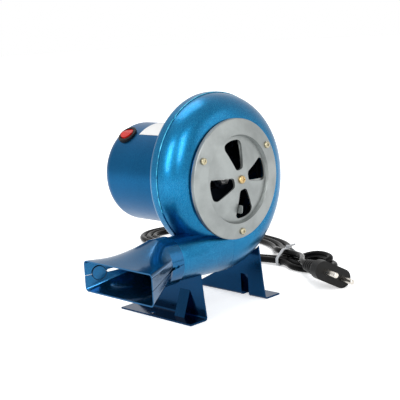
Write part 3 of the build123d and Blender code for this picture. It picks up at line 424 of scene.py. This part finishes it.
# pieces that look different from the rest of their slot
OWN_FINISH = {
    "nozzle_upper": nozzle, "nozzle_lower": nozzle, "nozzle_joint_discs": nozzle,
    "impeller_backplate": fan, "impeller_blades": fan, "impeller_front_ring": fan,
    "impeller_hub": fan, "cord_tie": tie_grey, "cover_screws": pale_brass,
}
slots = {part["node"]: part["material_slot"] for part in frame["record"]["subparts"]}
for name, node in frame["nodes"].items():
    node.data.materials.clear()
    node.data.materials.append(OWN_FINISH.get(name, FINISH[slots[name]]))
cord.data.materials.append(pvc)
relief.data.materials.append(black)
bead.data.materials.append(seam_highlight)
for shadow_ring in disc_shadow_rings:
    shadow_ring.data.materials.append(shadow_line)

# ---- floor, world and lamps ----


def seen_rays(nodes, links):
    """1 for rays from the camera, from gloss and through glass, and 0 for light."""
    path = nodes.new("ShaderNodeLightPath")
    first = nodes.new("ShaderNodeMath")
    first.operation = "MAXIMUM"
    second = nodes.new("ShaderNodeMath")
    second.operation = "MAXIMUM"
    links.new(path.outputs["Is Camera Ray"], first.inputs[0])
    links.new(path.outputs["Is Glossy Ray"], first.inputs[1])
    links.new(first.outputs["Value"], second.inputs[0])
    links.new(path.outputs["Is Transmission Ray"], second.inputs[1])
    return second.outputs["Value"]


def shown_apart(nodes, links, lighting, shown, output):
    """One shader for light rays and another for the rays that are seen."""
    choose = nodes.new("ShaderNodeMixShader")
    links.new(seen_rays(nodes, links), choose.inputs["Fac"])
    links.new(lighting, choose.inputs[1])
    links.new(shown, choose.inputs[2])
    links.new(choose.outputs["Shader"], nodes[output].inputs["Surface"])


FLOOR = 12.0
NEAR, FAR = 0.25, 0.80
NEAR_GLOW, FAR_GLOW = 0.50, 1.0
floor_mesh = bpy.data.meshes.new("floor")
floor_mesh.from_pydata(
    [(-FLOOR, -FLOOR, 0), (FLOOR, -FLOOR, 0), (FLOOR, FLOOR, 0), (-FLOOR, FLOOR, 0)],
    [], [(0, 1, 2, 3)],
)
floor = linked("floor", floor_mesh)
floor_finish, nodes, links = material("floor_white")
shader = nodes["Principled BSDF"]
shader.inputs["Base Color"].default_value = (0.92, 0.92, 0.92, 1.0)
shader.inputs["Roughness"].default_value = 0.85
# the floor glows a little near the object and is plain white further off
coord = nodes.new("ShaderNodeTexCoord")
away = nodes.new("ShaderNodeVectorMath")
away.operation = "LENGTH"
links.new(coord.outputs["Object"], away.inputs[0])
paler = nodes.new("ShaderNodeMapRange")
paler.inputs["From Min"].default_value = NEAR
paler.inputs["From Max"].default_value = FAR
paler.inputs["To Min"].default_value = NEAR_GLOW
paler.inputs["To Max"].default_value = FAR_GLOW
links.new(away.outputs["Value"], paler.inputs["Value"])
glow = nodes.new("ShaderNodeEmission")
glow.inputs["Color"].default_value = (1, 1, 1, 1)
links.new(paler.outputs["Result"], glow.inputs["Strength"])
both = nodes.new("ShaderNodeAddShader")
links.new(shader.outputs["BSDF"], both.inputs[0])
links.new(glow.outputs["Emission"], both.inputs[1])
shown_apart(nodes, links, shader.outputs["BSDF"], both.outputs["Shader"], "Material Output")
floor.data.materials.append(floor_finish)

world = bpy.data.worlds.new("world")
bpy.context.scene.world = world
world.use_nodes = True
nodes, links = world.node_tree.nodes, world.node_tree.links
room = nodes["Background"]
room.inputs["Color"].default_value = (0.95, 0.97, 1.0, 1.0)
room.inputs["Strength"].default_value = 0.45
seen = nodes.new("ShaderNodeBackground")
seen.inputs["Color"].default_value = (1, 1, 1, 1)
seen.inputs["Strength"].default_value = 1.0
shown_apart(nodes, links, room.outputs["Background"], seen.outputs["Background"], "World Output")


def lamp(name, place, aim, power, wide, tall):
    """A rectangular lamp at a place, turned to its aim."""
    data = bpy.data.lights.new(name, "AREA")
    data.energy = power
    data.shape = "RECTANGLE"
    data.size = wide
    data.size_y = tall
    made = linked(name, data)
    made.location = place
    made.rotation_euler = (Vector(aim) - Vector(place)).to_track_quat("-Z", "Y").to_euler()


lamp("key_left", (-1.25, -0.20, 0.75), (0.0, -0.02, 0.10), 9.0, 0.35, 0.9)
lamp("key_right", (-0.80, -1.05, 0.95), (0.0, -0.02, 0.10), 9.0, 0.35, 0.9)
lamp("fill", (0.65, -1.25, 0.60), (0.0, 0.0, 0.10), 3.0, 0.9, 0.9)
lamp("top", (0.10, 0.35, 1.40), (0.0, 0.0, 0.10), 7.0, 0.8, 0.8)

bpy.context.scene.view_settings.view_transform = "Standard"
